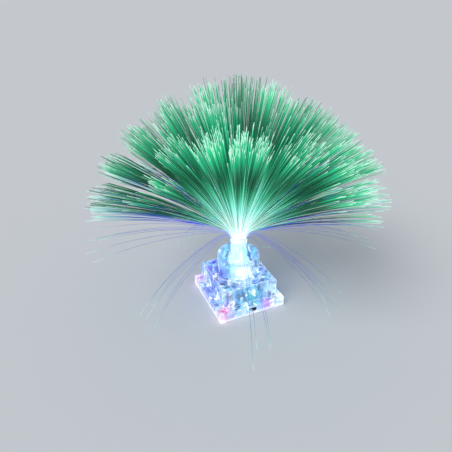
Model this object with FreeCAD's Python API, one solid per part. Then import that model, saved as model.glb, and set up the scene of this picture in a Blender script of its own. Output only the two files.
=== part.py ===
import FreeCAD, Part
import math
import os

# Mini fibre optic lamp. A clear moulded base holds three button cells, a small board with
# three LEDs and a slide switch. A bundle of plastic fibres in a ferrule plugs into the
# lamp's socket through a swivel collar, and fans out above it.
# Millimetres, +Z up. The origin is the middle of the underside, on the lamp's axis.
# The front, with the switch, faces -Y, and the battery door slides out at the back, +Y.

V = FreeCAD.Vector

# ---- Clearances
FIT = 0.05            # radial running clearance of the collar, ferrule and fibres
SEAT = 0.1            # play between a moulding and what it holds
SLIDE_GAP = 0.15      # each side of the battery door

# ---- Base mouldings
BASE_SIDE = 45.0
COVER_T = 2.6
PLATE_TOP = 6.4
PAD_TOP = 7.2
PAD_SIDE = 7.6
PAD_RECESS = 3.4
PAD_RECESS_DEPTH = 0.6
PLATE_WALL = 1.8
PLATE_ROOF = 1.4
TOWER_SETBACK = 4.0
TOWER_WALL = 1.4
TOWER_ROOF = 1.6
PANEL_INSET = 0.8
POST_SIDE = 6.4
POST_CHAMFER = 1.0
OCTAGON_FLATS = 31.4
OCTAGON_RISE = 2.6
EDGE_BREAK = 0.35

# ---- Drum, socket, collar and ferrule
DRUM_DIA = 27.0
DRUM_HEIGHT = 11.4
DRUM_WALL = 2.2
DRUM_FLOOR = 1.6
SPIGOT_WALL = 2.4
SOCKET_WALL = 1.15
SOCKET_RISE = 1.8
SOCKET_FOOT_R = 8.0
SOCKET_FOOT_T = 0.8
COLLAR_WALL = 0.7
COLLAR_FLANGE_R = 7.3
COLLAR_FLANGE_T = 2.75
FERRULE_WALL = 0.4
FERRULE_STOP_R = 6.2
FERRULE_STOP_T = 1.6
FERRULE_LIP = 0.3
NECK_RISE = 10.0

# ---- Fibres
FIBRE_DIA = 0.4
FIBRE_PITCH = 0.44
FIBRE_RINGS = 10
FREE_LENGTH = 95.0
LENGTH_SPREAD = 0.035
NECK_BEND = 12.0      # bend radius of the outermost fibres where they leave the ferrule
SIDE_FAN = 84.0       # lean of the outermost fibres at the sides and back, in degrees
FRONT_FAN = 30.0      # and towards the open side of the spray
OPEN_SIDE = -114.0    # compass angle of the open side, from +X
DROOP = 14.0          # how far a level fibre's tip turns down, in degrees
LEAN_WOBBLE = 1.0     # scatter of the fibres' lean, in degrees
TURN_WOBBLE = 8.0     # and of their compass angle, in degrees, shared out over the ring's number
STRAY_BEND = 7.0      # bend radius of the loose fibres at the ferrule's mouth
STRAY_WOBBLE = 2.2    # scatter of the loose fibres' lean, in degrees
# Fibres cling together in locks, with gaps between them. For each lock: its compass angle and
# its lean from straight up, in degrees, then the length of its fibres as a share of
# FREE_LENGTH
LOCK_AIMS = [(98, 27), (-170, 18), (174, 28), (171, 38), (168, 52), (-178, 60), (-160, 32),
             (-136, 29), (-117, 31), (-104, 32), (-87, 35), (-70, 34), (40, 26), (51, 54),
             (30, 40), (-36, 24), (-38, 40), (-57, 46), (-56, 57), (-71, 54), (-60, 68),
             (-152, 48), (-162, 60), (171, 72), (70, 12), (8, 48), (4, 70), (22, 76), (38, 82),
             (60, 83), (81, 77), (102, 70), (126, 58), (108, 46), (141, 68), (136, 82),
             (150, 42), (154, 81), (115, 84), (24, 60), (-20, 60), (-14, 81), (-34, 76),
             (128, 34)]
LOCK_REACHES = [1.01, 0.99, 0.99, 0.99, 0.99, 0.98, 0.98, 0.98, 0.98, 0.96, 0.98, 0.98, 1.01,
                0.99, 1.00, 0.99, 0.99, 0.99, 0.97, 0.96, 0.97, 0.95, 0.95, 0.99, 1.02, 1.00,
                0.99, 1.00, 1.01, 0.99, 0.99, 1.00, 0.99, 0.99, 1.01, 1.00, 0.99, 1.00, 1.01,
                1.00, 0.99, 0.99, 0.97, 1.00]
LOCK_PULL = 0.36      # how far each fibre turns towards the middle of its lock, 0 to 1
# Some of the outermost ring hang loose, in bunches. For each bunch: its compass angle and
# where its fibres point as they leave the neck and at their tips, in degrees from straight
# up, then the number of its fibres, then their free length
LOOSE_ANGLES = [(187, 112, 146), (258, 108, 150), (316, 114, 147), (157, 84, 112),
                (343, 86, 118), (52, 95, 130), (98, 110, 145)]
LOOSE_COUNTS = [3, 2, 3, 3, 3, 3, 3]
LOOSE_LENGTHS = [84.0, 88.0, 82.0, 98.0, 98.0, 96.0, 85.0]

# ---- Button cells and their bay
CELL_DIA = 11.6
CELL_T = 5.4
CELL_CAP_DIA = 9.4
CELL_CAP_T = 0.7
CELL_COUNT = 3
CELL_GAP = 0.03
BAY_WALL = 1.2
BAY_ROOF = 1.0
CONTACT_T = 0.4
CONTACT_W = 8.0
SPRING_T = 0.3
SPRING_W = 4.0
SPRING_THROW = 2.05
TAB_W = 1.6
TAB_Y = 3.0
TAB_OUT = 1.4
PEG_R = 0.7
PEG_LENGTH = 0.6

# ---- Battery door
DOOR_HALF = 12.0
TONGUE = 1.2
LIP_T = 0.8
DOOR_TOP = 1.8
DOOR_LIFT = 0.1
DOOR_FRONT = -8.5
GRIP_COUNT = 4
GRIP_PITCH = 1.4
GRIP_W = 0.6
GRIP_DEPTH = 0.35

# ---- Board and lights
BOARD_X = 29.0
BOARD_Y = 17.0
BOARD_T = 1.0
LED_R = 1.5
LED_FLANGE_R = 1.75
LED_FLANGE_T = 0.8
LED_LENGTH = 5.3
LED_STANDOFF = 0.4
LED_RING = 2.15
LEG_SIDE = 0.45
LEG_SPAN = 2.54
LED_AIR = 0.55        # between an LED's tip and the fibres' ends
CHIP_R = 2.2
CHIP_H = 1.2
CHIP_AT = (10.8, 3.6)
RESISTOR_SIZE = (2.0, 1.25, 0.5)
RESISTOR_AT = (-11.0, -1.6)
RESISTOR_PITCH = 2.1
RESISTOR_COUNT = 3
HEADROOM = 1.55       # over the chip, under the tower's roof

# ---- Slide switch
SWITCH_W = 8.6
SWITCH_D = 3.6
SWITCH_H = 3.5
KNOB_W = 2.4
KNOB_H = 2.0
KNOB_TRAVEL = 2.0
KNOB_PROUD = 0.4
KNOB_RIBS = 3
CAN_SLOT_D = 1.8
WINDOW_W = 5.7
WINDOW_H = 2.9
HOOD_W = 10.8
HOOD_ROOF = 1.0
PIN_COUNT = 3
PIN_PITCH = 2.0
PIN_SIDE = 0.5
PIN_LENGTH = 1.5

# ---- Fasteners and leads
BOSS_INSET = 4.5
BOSS_R = 2.3
SCREW_SHANK_R = 0.95
SCREW_HEAD_R = 1.75
SCREW_HEAD_T = 1.2
SCREW_LENGTH = 4.8
SCREW_HOLE_R = 1.1
BOARD_BOSS_R = 2.2
BOARD_BOSS_Y = 4.6
BOARD_BOSS_OUT = 1.23  # from the cradle's end to the boss's axis
BOARD_SCREW_R = 0.7
BOARD_SCREW_LENGTH = 5.0
BOARD_HEAD_R = 1.6
BOARD_HEAD_T = 0.9
DRIVER_SLOT_W = 0.5
DRIVER_SLOT_DEPTH = 0.5
LEAD_DIA = 0.9
LEAD_RISE = 3.0       # the least run of wire that leads up to a joint
PIN_LEAD_RUN = 2.0    # how far a lead runs straight on from a switch pin
SIDE_LEAD_RUN = 2.4   # and the one that then turns sideways
SIDE_LEAD_SHIFT = 1.2

# ---- Heights, from the underside up
GROOVE_TOP = DOOR_TOP + SEAT
CELL_AXIS_Z = DOOR_TOP + SEAT + CELL_DIA / 2
BAY_R = CELL_DIA / 2 + SLIDE_GAP
BOARD_Z = CELL_AXIS_Z + BAY_R + BAY_ROOF
BOARD_TOP = BOARD_Z + BOARD_T
LED_Z = BOARD_TOP + LED_STANDOFF
FIBRE_START = LED_Z + LED_LENGTH + LED_AIR
SHOULDER_Z = FIBRE_START - CONTACT_T
TOWER_TOP = BOARD_TOP + CHIP_H + HEADROOM + TOWER_ROOF
DRUM_SEAT = TOWER_TOP + OCTAGON_RISE
DRUM_TOP = DRUM_SEAT + DRUM_HEIGHT
SOCKET_TOP = DRUM_SEAT + DRUM_FLOOR + SOCKET_RISE
COLLAR_TOP = SOCKET_TOP + FIT + COLLAR_FLANGE_T
NECK_Z = DRUM_TOP + NECK_RISE

# ---- Radii, from the bundle out
BUNDLE_R = FIBRE_RINGS * FIBRE_PITCH + FIBRE_DIA / 2
FERRULE_R = BUNDLE_R + FIT + FERRULE_WALL
COLLAR_BORE = FERRULE_R + FIT
COLLAR_R = COLLAR_BORE + COLLAR_WALL
SOCKET_BORE = COLLAR_R + FIT
SOCKET_R = SOCKET_BORE + SOCKET_WALL
SPIGOT_R = SOCKET_R + SEAT + SPIGOT_WALL
LED_WELL_R = LED_RING + LED_FLANGE_R + 4 * SLIDE_GAP

# ---- Plan sizes
HALF = BASE_SIDE / 2
CAVITY = HALF - PLATE_WALL
TOWER_HALF = HALF - TOWER_SETBACK
TOWER_CAVITY = TOWER_HALF - PANEL_INSET - TOWER_WALL
BOSS_AT = HALF - BOSS_INSET
STACK = CELL_COUNT * (CELL_T + CELL_GAP)
BAY_HALF = (STACK + CONTACT_T + SPRING_T + SPRING_THROW + 2 * FIT) / 2
CRADLE_X = BAY_HALF + BAY_WALL
CRADLE_Y = BAY_R + BAY_WALL
BOARD_BOSS_X = CRADLE_X + BOARD_BOSS_OUT
TAB_Z = CELL_AXIS_Z + CELL_DIA / 3
SWITCH_FACE = -CAVITY + SEAT
SWITCH_Z = COVER_T + SWITCH_H / 2
BODY_BACK = SWITCH_FACE + SWITCH_D
PIN_END = BODY_BACK + PIN_LENGTH


def box(x0, x1, y0, y1, z0, z1):
    return Part.makeBox(x1 - x0, y1 - y0, z1 - z0, V(x0, y0, z0))


def square(half, z0, z1):
    return box(-half, half, -half, half, z0, z1)


def cylinder(radius, z0, z1, x=0.0, y=0.0):
    return Part.makeCylinder(radius, z1 - z0, V(x, y, z0))


def joined(first, *rest):
    return first.fuse(list(rest)).removeSplitter()


def corners(distance):
    return [(sx * distance, sy * distance) for sx in (-1, 1) for sy in (-1, 1)]


def level_edges(shape, z):
    """The shape's edges that lie wholly at height z."""
    return [edge for edge in shape.Edges
            if max(abs(edge.BoundBox.ZMin - z), abs(edge.BoundBox.ZMax - z)) < 1e-6]


BOARD_BOSSES = [(BOARD_BOSS_X, -BOARD_BOSS_Y), (-BOARD_BOSS_X, BOARD_BOSS_Y)]


# ---- Clear mouldings

def bottom_cover():
    plate = square(HALF, 0, COVER_T)
    plate = plate.makeChamfer(EDGE_BREAK, level_edges(plate, 0))
    ribs = []
    for side in (-1, 1):
        outer = side * (CAVITY - SEAT)
        inner = outer - side * EDGE_BREAK * 3
        ribs.append(box(min(outer, inner), max(outer, inner), -HALF / 2, HALF / 2,
                        COVER_T, COVER_T + PLATE_ROOF))
    cover = joined(plate, *ribs)
    lip = DOOR_HALF + SLIDE_GAP
    groove = lip + TONGUE
    front = DOOR_FRONT - SLIDE_GAP
    cuts = [
        box(-lip, lip, front, HALF, 0, LIP_T),
        box(-groove, groove, front, HALF, LIP_T, GROOVE_TOP),
        box(-BAY_HALF, BAY_HALF, -BAY_R, BAY_R, GROOVE_TOP, COVER_T),
    ]
    for x, y in corners(BOSS_AT):
        cuts.append(cylinder(SCREW_HOLE_R, 0, COVER_T, x, y))
        cuts.append(cylinder(SCREW_HEAD_R + SEAT, 0, SCREW_HEAD_T + SEAT, x, y))
    for x, y in BOARD_BOSSES:
        cuts.append(cylinder(PEG_R + FIT, GROOVE_TOP, COVER_T, x, y))
    return cover.cut(cuts)


def corner_post(sx, sy):
    post = box(TOWER_HALF - POST_SIDE, TOWER_HALF, TOWER_HALF - POST_SIDE, TOWER_HALF,
               COVER_T + PLATE_ROOF, TOWER_TOP)
    post = post.makeChamfer(POST_CHAMFER, level_edges(post, TOWER_TOP))
    turn = {(1, 1): 0, (-1, 1): 90, (-1, -1): 180, (1, -1): 270}[(sx, sy)]
    post.rotate(V(0, 0, 0), V(0, 0, 1), turn)
    return post


def octagon(flats, z0, z1):
    radius = flats / 2 / math.cos(math.pi / 8)
    ring = [V(radius * math.cos(math.radians(22.5 + 45 * k)),
              radius * math.sin(math.radians(22.5 + 45 * k)), z0) for k in range(8)]
    return Part.Face(Part.makePolygon(ring + ring[:1])).extrude(V(0, 0, z1 - z0))


def pad(sx, sy):
    inner = HALF - PAD_SIDE
    block = box(inner, HALF, inner, HALF, COVER_T, PAD_TOP)
    block = block.makeChamfer(EDGE_BREAK, level_edges(block, PAD_TOP))
    middle = HALF - PAD_SIDE / 2
    half = PAD_RECESS / 2
    block = block.cut(box(middle - half, middle + half, middle - half, middle + half,
                          PAD_TOP - PAD_RECESS_DEPTH, PAD_TOP))
    turn = {(1, 1): 0, (-1, 1): 90, (-1, -1): 180, (1, -1): 270}[(sx, sy)]
    block.rotate(V(0, 0, 0), V(0, 0, 1), turn)
    return block


def crystal_housing():
    signs = [(sx, sy) for sx in (-1, 1) for sy in (-1, 1)]
    plate = square(HALF, COVER_T, PLATE_TOP)
    panels = square(TOWER_HALF - PANEL_INSET, COVER_T, TOWER_TOP)
    crown = octagon(OCTAGON_FLATS, TOWER_TOP, DRUM_SEAT)
    crown = crown.makeChamfer(EDGE_BREAK, level_edges(crown, DRUM_SEAT))
    hood = box(-HOOD_W / 2, HOOD_W / 2, -HALF, -TOWER_HALF + PANEL_INSET, COVER_T, PAD_TOP)
    shell = joined(plate, panels, crown, hood,
                   *[corner_post(*sign) for sign in signs], *[pad(*sign) for sign in signs])
    pocket = box(-SWITCH_W / 2 - SEAT, SWITCH_W / 2 + SEAT, -CAVITY, -TOWER_CAVITY,
                 COVER_T, PAD_TOP - HOOD_ROOF)
    window = box(-WINDOW_W / 2, WINDOW_W / 2, -HALF, -CAVITY,
                 SWITCH_Z - WINDOW_H / 2, SWITCH_Z + WINDOW_H / 2)
    hollow = joined(square(CAVITY, COVER_T, PLATE_TOP - PLATE_ROOF),
                    square(TOWER_CAVITY, COVER_T, TOWER_TOP - TOWER_ROOF), pocket, window)
    shell = shell.cut([hollow, cylinder(SPIGOT_R + SEAT, TOWER_TOP - TOWER_ROOF, DRUM_SEAT)])
    bosses = [cylinder(BOSS_R, COVER_T, PAD_TOP - PAD_RECESS_DEPTH - EDGE_BREAK, x, y)
              for x, y in corners(BOSS_AT)]
    shell = joined(shell, *bosses)
    pilot_top = SCREW_HEAD_T + SCREW_LENGTH + SEAT * 2
    return shell.cut([cylinder(SCREW_SHANK_R + FIT, COVER_T, pilot_top, x, y)
                      for x, y in corners(BOSS_AT)])


def light_drum():
    radius = DRUM_DIA / 2
    cup = cylinder(radius, DRUM_SEAT, DRUM_TOP)
    cup = cup.cut(cylinder(radius - DRUM_WALL, DRUM_SEAT + DRUM_FLOOR, DRUM_TOP))
    cup = cup.makeFillet(EDGE_BREAK * 2, level_edges(cup, DRUM_TOP))
    spigot = cylinder(SPIGOT_R, TOWER_TOP - TOWER_ROOF + SEAT, DRUM_SEAT)
    bore = cylinder(SOCKET_R + SEAT, TOWER_TOP - TOWER_ROOF, DRUM_SEAT + DRUM_FLOOR)
    return joined(cup, spigot).cut(bore)


def socket_tube():
    body = joined(cylinder(SOCKET_R, BOARD_TOP, SOCKET_TOP),
                  cylinder(SOCKET_FOOT_R, BOARD_TOP, BOARD_TOP + SOCKET_FOOT_T))
    return body.cut([cylinder(LED_WELL_R, BOARD_TOP, SHOULDER_Z),
                     cylinder(SOCKET_BORE, SHOULDER_Z, SOCKET_TOP)])


# ---- Cells, bay and contacts

def battery_cradle():
    block = box(-CRADLE_X, CRADLE_X, -CRADLE_Y, CRADLE_Y, COVER_T, BOARD_Z)
    bosses = [cylinder(BOARD_BOSS_R, COVER_T, BOARD_Z, x, y) for x, y in BOARD_BOSSES]
    pegs = [cylinder(PEG_R, COVER_T - PEG_LENGTH, COVER_T, x, y) for x, y in BOARD_BOSSES]
    bay = Part.makeCylinder(BAY_R, 2 * BAY_HALF, V(-BAY_HALF, 0, CELL_AXIS_Z), V(1, 0, 0))
    mouth = box(-BAY_HALF, BAY_HALF, -BAY_R, BAY_R, COVER_T, CELL_AXIS_Z)
    cuts = [bay, mouth]
    for side in (-1, 1):
        middle = side * TAB_Y
        low, high = sorted((side * BAY_HALF, side * CRADLE_X))
        cuts.append(box(low, high, middle - TAB_W / 2 - SEAT, middle + TAB_W / 2 + SEAT,
                        TAB_Z - SEAT, TAB_Z + CONTACT_T + SEAT))
    pilot_z = BOARD_TOP - BOARD_SCREW_LENGTH - SEAT
    cradle = joined(block, *bosses, *pegs).cut(cuts)
    return cradle.cut([cylinder(BOARD_SCREW_R + FIT, pilot_z, BOARD_Z, x, y)
                       for x, y in BOARD_BOSSES])


def button_cell(index):
    """Cell number index from the + end, its cap towards the spring."""
    face = BAY_HALF - FIT - CONTACT_T - CELL_GAP - index * (CELL_T + CELL_GAP)
    along = V(-1, 0, 0)
    can = Part.makeCylinder(CELL_DIA / 2, CELL_T - CELL_CAP_T, V(face, 0, CELL_AXIS_Z), along)
    can = can.makeFillet(EDGE_BREAK, [edge for edge in can.Edges if edge.Closed])
    cap = Part.makeCylinder(CELL_CAP_DIA / 2, CELL_T, V(face, 0, CELL_AXIS_Z), along)
    return joined(can, cap)


def contact_tab(side):
    low, high = sorted((side * (BAY_HALF - FIT - CONTACT_T), side * (CRADLE_X + TAB_OUT)))
    return box(low, high, side * TAB_Y - TAB_W / 2, side * TAB_Y + TAB_W / 2,
               TAB_Z, TAB_Z + CONTACT_T)


def plate_contact():
    back = BAY_HALF - FIT
    strip = box(back - CONTACT_T, back, -CONTACT_W / 2, CONTACT_W / 2,
                CELL_AXIS_Z - CELL_DIA / 3, TAB_Z + CONTACT_T)
    return joined(strip, contact_tab(1))


def spring_contact():
    back = -BAY_HALF + FIT
    reach = CELL_DIA / 3
    strip = box(back, back + SPRING_T, -CONTACT_W / 2, CONTACT_W / 2,
                CELL_AXIS_Z - reach, TAB_Z + CONTACT_T)

    def bow(x, crest, half):
        return Part.Arc(V(x, 0, CELL_AXIS_Z - half), V(crest, 0, CELL_AXIS_Z),
                        V(x, 0, CELL_AXIS_Z + half)).toShape()

    root = back + SPRING_T / 2
    crest = back + SPRING_THROW
    outer = bow(root, crest, reach)
    inner = bow(root, crest - SPRING_T, reach - SPRING_T)
    feet = [Part.LineSegment(outer.Vertexes[0].Point, inner.Vertexes[0].Point).toShape(),
            Part.LineSegment(outer.Vertexes[-1].Point, inner.Vertexes[-1].Point).toShape()]
    leaf = Part.Face(Part.Wire(Part.__sortEdges__([outer, inner] + feet)))
    leaf.translate(V(0, -SPRING_W / 2, 0))
    return joined(strip, leaf.extrude(V(0, SPRING_W, 0)), contact_tab(-1))


def battery_door():
    plate = box(-DOOR_HALF, DOOR_HALF, DOOR_FRONT, HALF, DOOR_LIFT, DOOR_TOP)
    tongues = box(-DOOR_HALF - TONGUE, DOOR_HALF + TONGUE, DOOR_FRONT, HALF,
                  LIP_T + SEAT, DOOR_TOP)
    grips = []
    for k in range(GRIP_COUNT):
        y = HALF - GRIP_PITCH * (k + 1.5)
        grips.append(box(-DOOR_HALF / 2, DOOR_HALF / 2, y - GRIP_W / 2, y + GRIP_W / 2,
                         DOOR_LIFT, DOOR_LIFT + GRIP_DEPTH))
    return joined(plate, tongues).cut(grips)


# ---- Board, lights and small parts on it

def led_places():
    return [(LED_RING * math.cos(math.radians(a)), LED_RING * math.sin(math.radians(a)), a)
            for a in (90, 210, 330)]


def leg_places():
    spots = []
    for x, y, angle in led_places():
        along = math.radians(angle + 90)
        for side in (-LEG_SPAN / 2, LEG_SPAN / 2):
            spots.append((x + side * math.cos(along), y + side * math.sin(along)))
    return spots


def circuit_board():
    board = box(-BOARD_X / 2, BOARD_X / 2, -BOARD_Y / 2, BOARD_Y / 2, BOARD_Z, BOARD_TOP)
    holes = [cylinder(LEG_SIDE, BOARD_Z, BOARD_TOP, x, y) for x, y in leg_places()]
    holes += [cylinder(BOARD_SCREW_R + SEAT, BOARD_Z, BOARD_TOP, x, y)
              for x, y in BOARD_BOSSES]
    return board.cut(holes)


def led(index):
    x, y, _ = led_places()[index]
    shoulder = LED_Z + LED_LENGTH - LED_R
    return joined(cylinder(LED_FLANGE_R, LED_Z, LED_Z + LED_FLANGE_T, x, y),
                  cylinder(LED_R, LED_Z, shoulder, x, y),
                  Part.makeSphere(LED_R, V(x, y, shoulder)))


def led_legs():
    half = LEG_SIDE / 2
    return Part.makeCompound([box(x - half, x + half, y - half, y + half, BOARD_Z + FIT, LED_Z)
                              for x, y in leg_places()])


def driver_chip():
    x, y = CHIP_AT
    blob = cylinder(CHIP_R, BOARD_TOP, BOARD_TOP + CHIP_H, x, y)
    return blob.makeFillet(CHIP_H * 0.8, level_edges(blob, BOARD_TOP + CHIP_H))


def resistors():
    length, width, height = RESISTOR_SIZE
    x, y0 = RESISTOR_AT
    chips = []
    for k in range(RESISTOR_COUNT):
        y = y0 - k * RESISTOR_PITCH
        chips.append(box(x - length / 2, x + length / 2, y - width / 2, y + width / 2,
                         BOARD_TOP, BOARD_TOP + height))
    return Part.makeCompound(chips)


# ---- Slide switch

def switch_body():
    can = box(-SWITCH_W / 2, SWITCH_W / 2, SWITCH_FACE, BODY_BACK, COVER_T, COVER_T + SWITCH_H)
    half = (KNOB_W + KNOB_TRAVEL) / 2 + SEAT
    slot = box(-half, half, SWITCH_FACE, SWITCH_FACE + CAN_SLOT_D,
               SWITCH_Z - KNOB_H / 2 - SEAT, SWITCH_Z + KNOB_H / 2 + SEAT)
    return can.cut(slot)


def switch_knob():
    middle = KNOB_TRAVEL / 2
    front = -HALF - KNOB_PROUD
    knob = box(middle - KNOB_W / 2, middle + KNOB_W / 2, front,
               SWITCH_FACE + CAN_SLOT_D - SEAT, SWITCH_Z - KNOB_H / 2, SWITCH_Z + KNOB_H / 2)
    gap = KNOB_W / (2 * KNOB_RIBS + 1)
    grooves = []
    for k in range(KNOB_RIBS):
        x = middle - KNOB_W / 2 + gap * (2 * k + 1)
        grooves.append(box(x, x + gap, front, front + gap, SWITCH_Z - KNOB_H / 2,
                           SWITCH_Z + KNOB_H / 2))
    return knob.cut(grooves)


def pin_x(index):
    return (index - (PIN_COUNT - 1) / 2) * PIN_PITCH


def switch_pins():
    half = PIN_SIDE / 2
    return Part.makeCompound([box(pin_x(k) - half, pin_x(k) + half, BODY_BACK, PIN_END,
                                  SWITCH_Z - half, SWITCH_Z + half) for k in range(PIN_COUNT)])


# ---- Screws and leads

def screw(head_r, head_t, shank_r, length):
    """A pan-head screw standing on its head, with the shank up, and a crossed driver slot."""
    body = joined(cylinder(head_r, 0, head_t), cylinder(shank_r, head_t, head_t + length))
    half = DRIVER_SLOT_W / 2
    reach = head_r * 0.7
    return body.cut([box(-half, half, -reach, reach, 0, DRIVER_SLOT_DEPTH),
                     box(-reach, reach, -half, half, 0, DRIVER_SLOT_DEPTH)])


def housing_screws():
    screws = []
    for x, y in corners(BOSS_AT):
        one = screw(SCREW_HEAD_R, SCREW_HEAD_T, SCREW_SHANK_R, SCREW_LENGTH)
        one.translate(V(x, y, SEAT / 2))
        screws.append(one)
    return Part.makeCompound(screws)


def board_screws():
    screws = []
    for x, y in BOARD_BOSSES:
        one = screw(BOARD_HEAD_R, BOARD_HEAD_T, BOARD_SCREW_R, BOARD_SCREW_LENGTH)
        one.rotate(V(0, 0, 0), V(1, 0, 0), 180)
        one.translate(V(x, y, BOARD_TOP + BOARD_HEAD_T))
        screws.append(one)
    return Part.makeCompound(screws)


def lead(points, diameter):
    """An insulated wire along straight runs joined by tangent arcs."""
    points = [V(*p) for p in points]
    edges = []
    start = points[0]
    for before, here, after in zip(points, points[1:], points[2:]):
        into = (here - before).normalize()
        away = (after - here).normalize()
        turn = into.getAngle(away)
        shorter = min((here - before).Length, (after - here).Length)
        setback = 0.45 * shorter
        first = here - into * setback
        last = here + away * setback
        radius = setback / math.tan(turn / 2)
        inward = (away - into).normalize()
        middle = here + inward * (math.hypot(radius, setback) - radius)
        edges.append(Part.LineSegment(start, first).toShape())
        edges.append(Part.Arc(first, middle, last).toShape())
        start = last
    edges.append(Part.LineSegment(start, points[-1]).toShape())
    path = Part.Wire(edges)
    ring = Part.makeCircle(diameter / 2, points[0], points[1] - points[0])
    return path.makePipeShell([Part.Wire(ring)], True, False)


def lead_positive():
    """From the + contact down the inside of the tower to the switch's end pin."""
    wall = TOWER_CAVITY - LEAD_DIA
    tab = TAB_Z + CONTACT_T / 2
    return lead([(CRADLE_X + TAB_OUT, TAB_Y, tab), (wall - LEAD_DIA, TAB_Y, tab),
                 (wall, TAB_Y - 3 * LEAD_DIA, TAB_Z),
                 (wall, -BOARD_BOSS_Y - 5 * LEAD_DIA, CELL_AXIS_Z),
                 (PIN_PITCH * 3.5, PIN_END + LEAD_RISE, SWITCH_Z + LEAD_DIA),
                 (pin_x(2), PIN_END + PIN_LEAD_RUN, SWITCH_Z),
                 (pin_x(2), PIN_END, SWITCH_Z)], LEAD_DIA)


def lead_switch():
    """From the switch's middle pin up to the underside of the board."""
    y = -CRADLE_Y - LEAD_DIA
    aside = pin_x(1) - SIDE_LEAD_SHIFT
    return lead([(pin_x(1), PIN_END, SWITCH_Z), (pin_x(1), PIN_END + SIDE_LEAD_RUN, SWITCH_Z),
                 (aside, y - LEAD_DIA, CELL_AXIS_Z), (aside, y, BOARD_Z - LEAD_RISE),
                 (aside, y, BOARD_Z)], LEAD_DIA)


def lead_negative():
    """From the spring contact up to the underside of the board."""
    tab = -CRADLE_X - TAB_OUT
    out = -BOARD_X / 2 + LEAD_DIA
    return lead([(tab, -TAB_Y, TAB_Z + CONTACT_T / 2), (out, -TAB_Y, TAB_Z + CONTACT_T / 2),
                 (out, -TAB_Y, BOARD_Z)], LEAD_DIA)


# ---- Fibre spray

def swivel_collar():
    shank = cylinder(COLLAR_R, SHOULDER_Z + SEAT, SOCKET_TOP + FIT)
    flange = cylinder(COLLAR_FLANGE_R, SOCKET_TOP + FIT, COLLAR_TOP)
    flange = flange.makeChamfer(EDGE_BREAK, level_edges(flange, COLLAR_TOP))
    return joined(shank, flange).cut(cylinder(COLLAR_BORE, SHOULDER_Z, COLLAR_TOP))


def ferrule():
    stop_z = COLLAR_TOP + FIT
    stop = cylinder(FERRULE_STOP_R, stop_z, stop_z + FERRULE_STOP_T)
    stop = stop.makeFillet(EDGE_BREAK, level_edges(stop, stop_z + FERRULE_STOP_T))
    lip = cylinder(FERRULE_R + FERRULE_LIP, NECK_Z - 2 * FERRULE_LIP, NECK_Z)
    sleeve = joined(cylinder(FERRULE_R, FIBRE_START, NECK_Z), stop, lip)
    return sleeve.cut(cylinder(BUNDLE_R + FIT, FIBRE_START, NECK_Z))


def lattice(ring):
    """The (x, y, index) places of one ring of the hexagonal bundle."""
    if ring == 0:
        return [(0.0, 0.0, 0)]
    sides = [(math.cos(math.radians(60 * k)), math.sin(math.radians(60 * k))) for k in range(8)]
    places = []
    for side in range(6):
        for step in range(ring):
            x = FIBRE_PITCH * (ring * sides[side][0] + step * sides[side + 2][0])
            y = FIBRE_PITCH * (ring * sides[side][1] + step * sides[side + 2][1])
            places.append((x, y, side * ring + step))
    return places


def wobble(ring, index, stride):
    """An even, repeatable scatter from -1 to 1."""
    return (ring * 0.7549 + index * stride) % 1 * 2 - 1


def openness(azimuth):
    """1 towards the open side of the spray, 0 at right angles to it and behind."""
    return max(0.0, math.cos(azimuth - math.radians(OPEN_SIDE))) ** 2


def aimed(azimuth, lean):
    """The unit direction with this compass angle and lean."""
    return V(math.sin(lean) * math.cos(azimuth), math.sin(lean) * math.sin(azimuth),
             math.cos(lean))


def nearest_lock(aim):
    """The direction and the fibre length of the lock that stands nearest to a direction."""
    locks = [(aimed(math.radians(compass), math.radians(lean)), FREE_LENGTH * reach)
             for (compass, lean), reach in zip(LOCK_AIMS, LOCK_REACHES)]
    return max(locks, key=lambda lock: lock[0].dot(aim))


def fibre(x, y, azimuth, radius, launch, tip, length):
    """Straight in the ferrule, one bend at the neck to launch, then one long droop to tip."""
    out = V(math.cos(azimuth), math.sin(azimuth), 0)
    up = V(0, 0, 1)
    neck = V(x, y, NECK_Z)

    def on_bend(angle):
        return neck + out * (radius * (1 - math.cos(angle))) + up * (radius * math.sin(angle))

    bend_end = on_bend(launch)
    droop = (length - radius * launch) / (tip - launch)

    def on_droop(angle):
        across = droop * (math.cos(launch) - math.cos(angle))
        rise = droop * (math.sin(angle) - math.sin(launch))
        return bend_end + out * across + up * rise

    path = Part.Wire([
        Part.LineSegment(V(x, y, FIBRE_START), neck).toShape(),
        Part.Arc(neck, on_bend(launch / 2), bend_end).toShape(),
        Part.Arc(bend_end, on_droop((launch + tip) / 2), on_droop(tip)).toShape()])
    ring = Part.Wire(Part.makeCircle(FIBRE_DIA / 2, V(x, y, FIBRE_START), up))
    return path.makePipeShell([ring], True, False)


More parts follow.
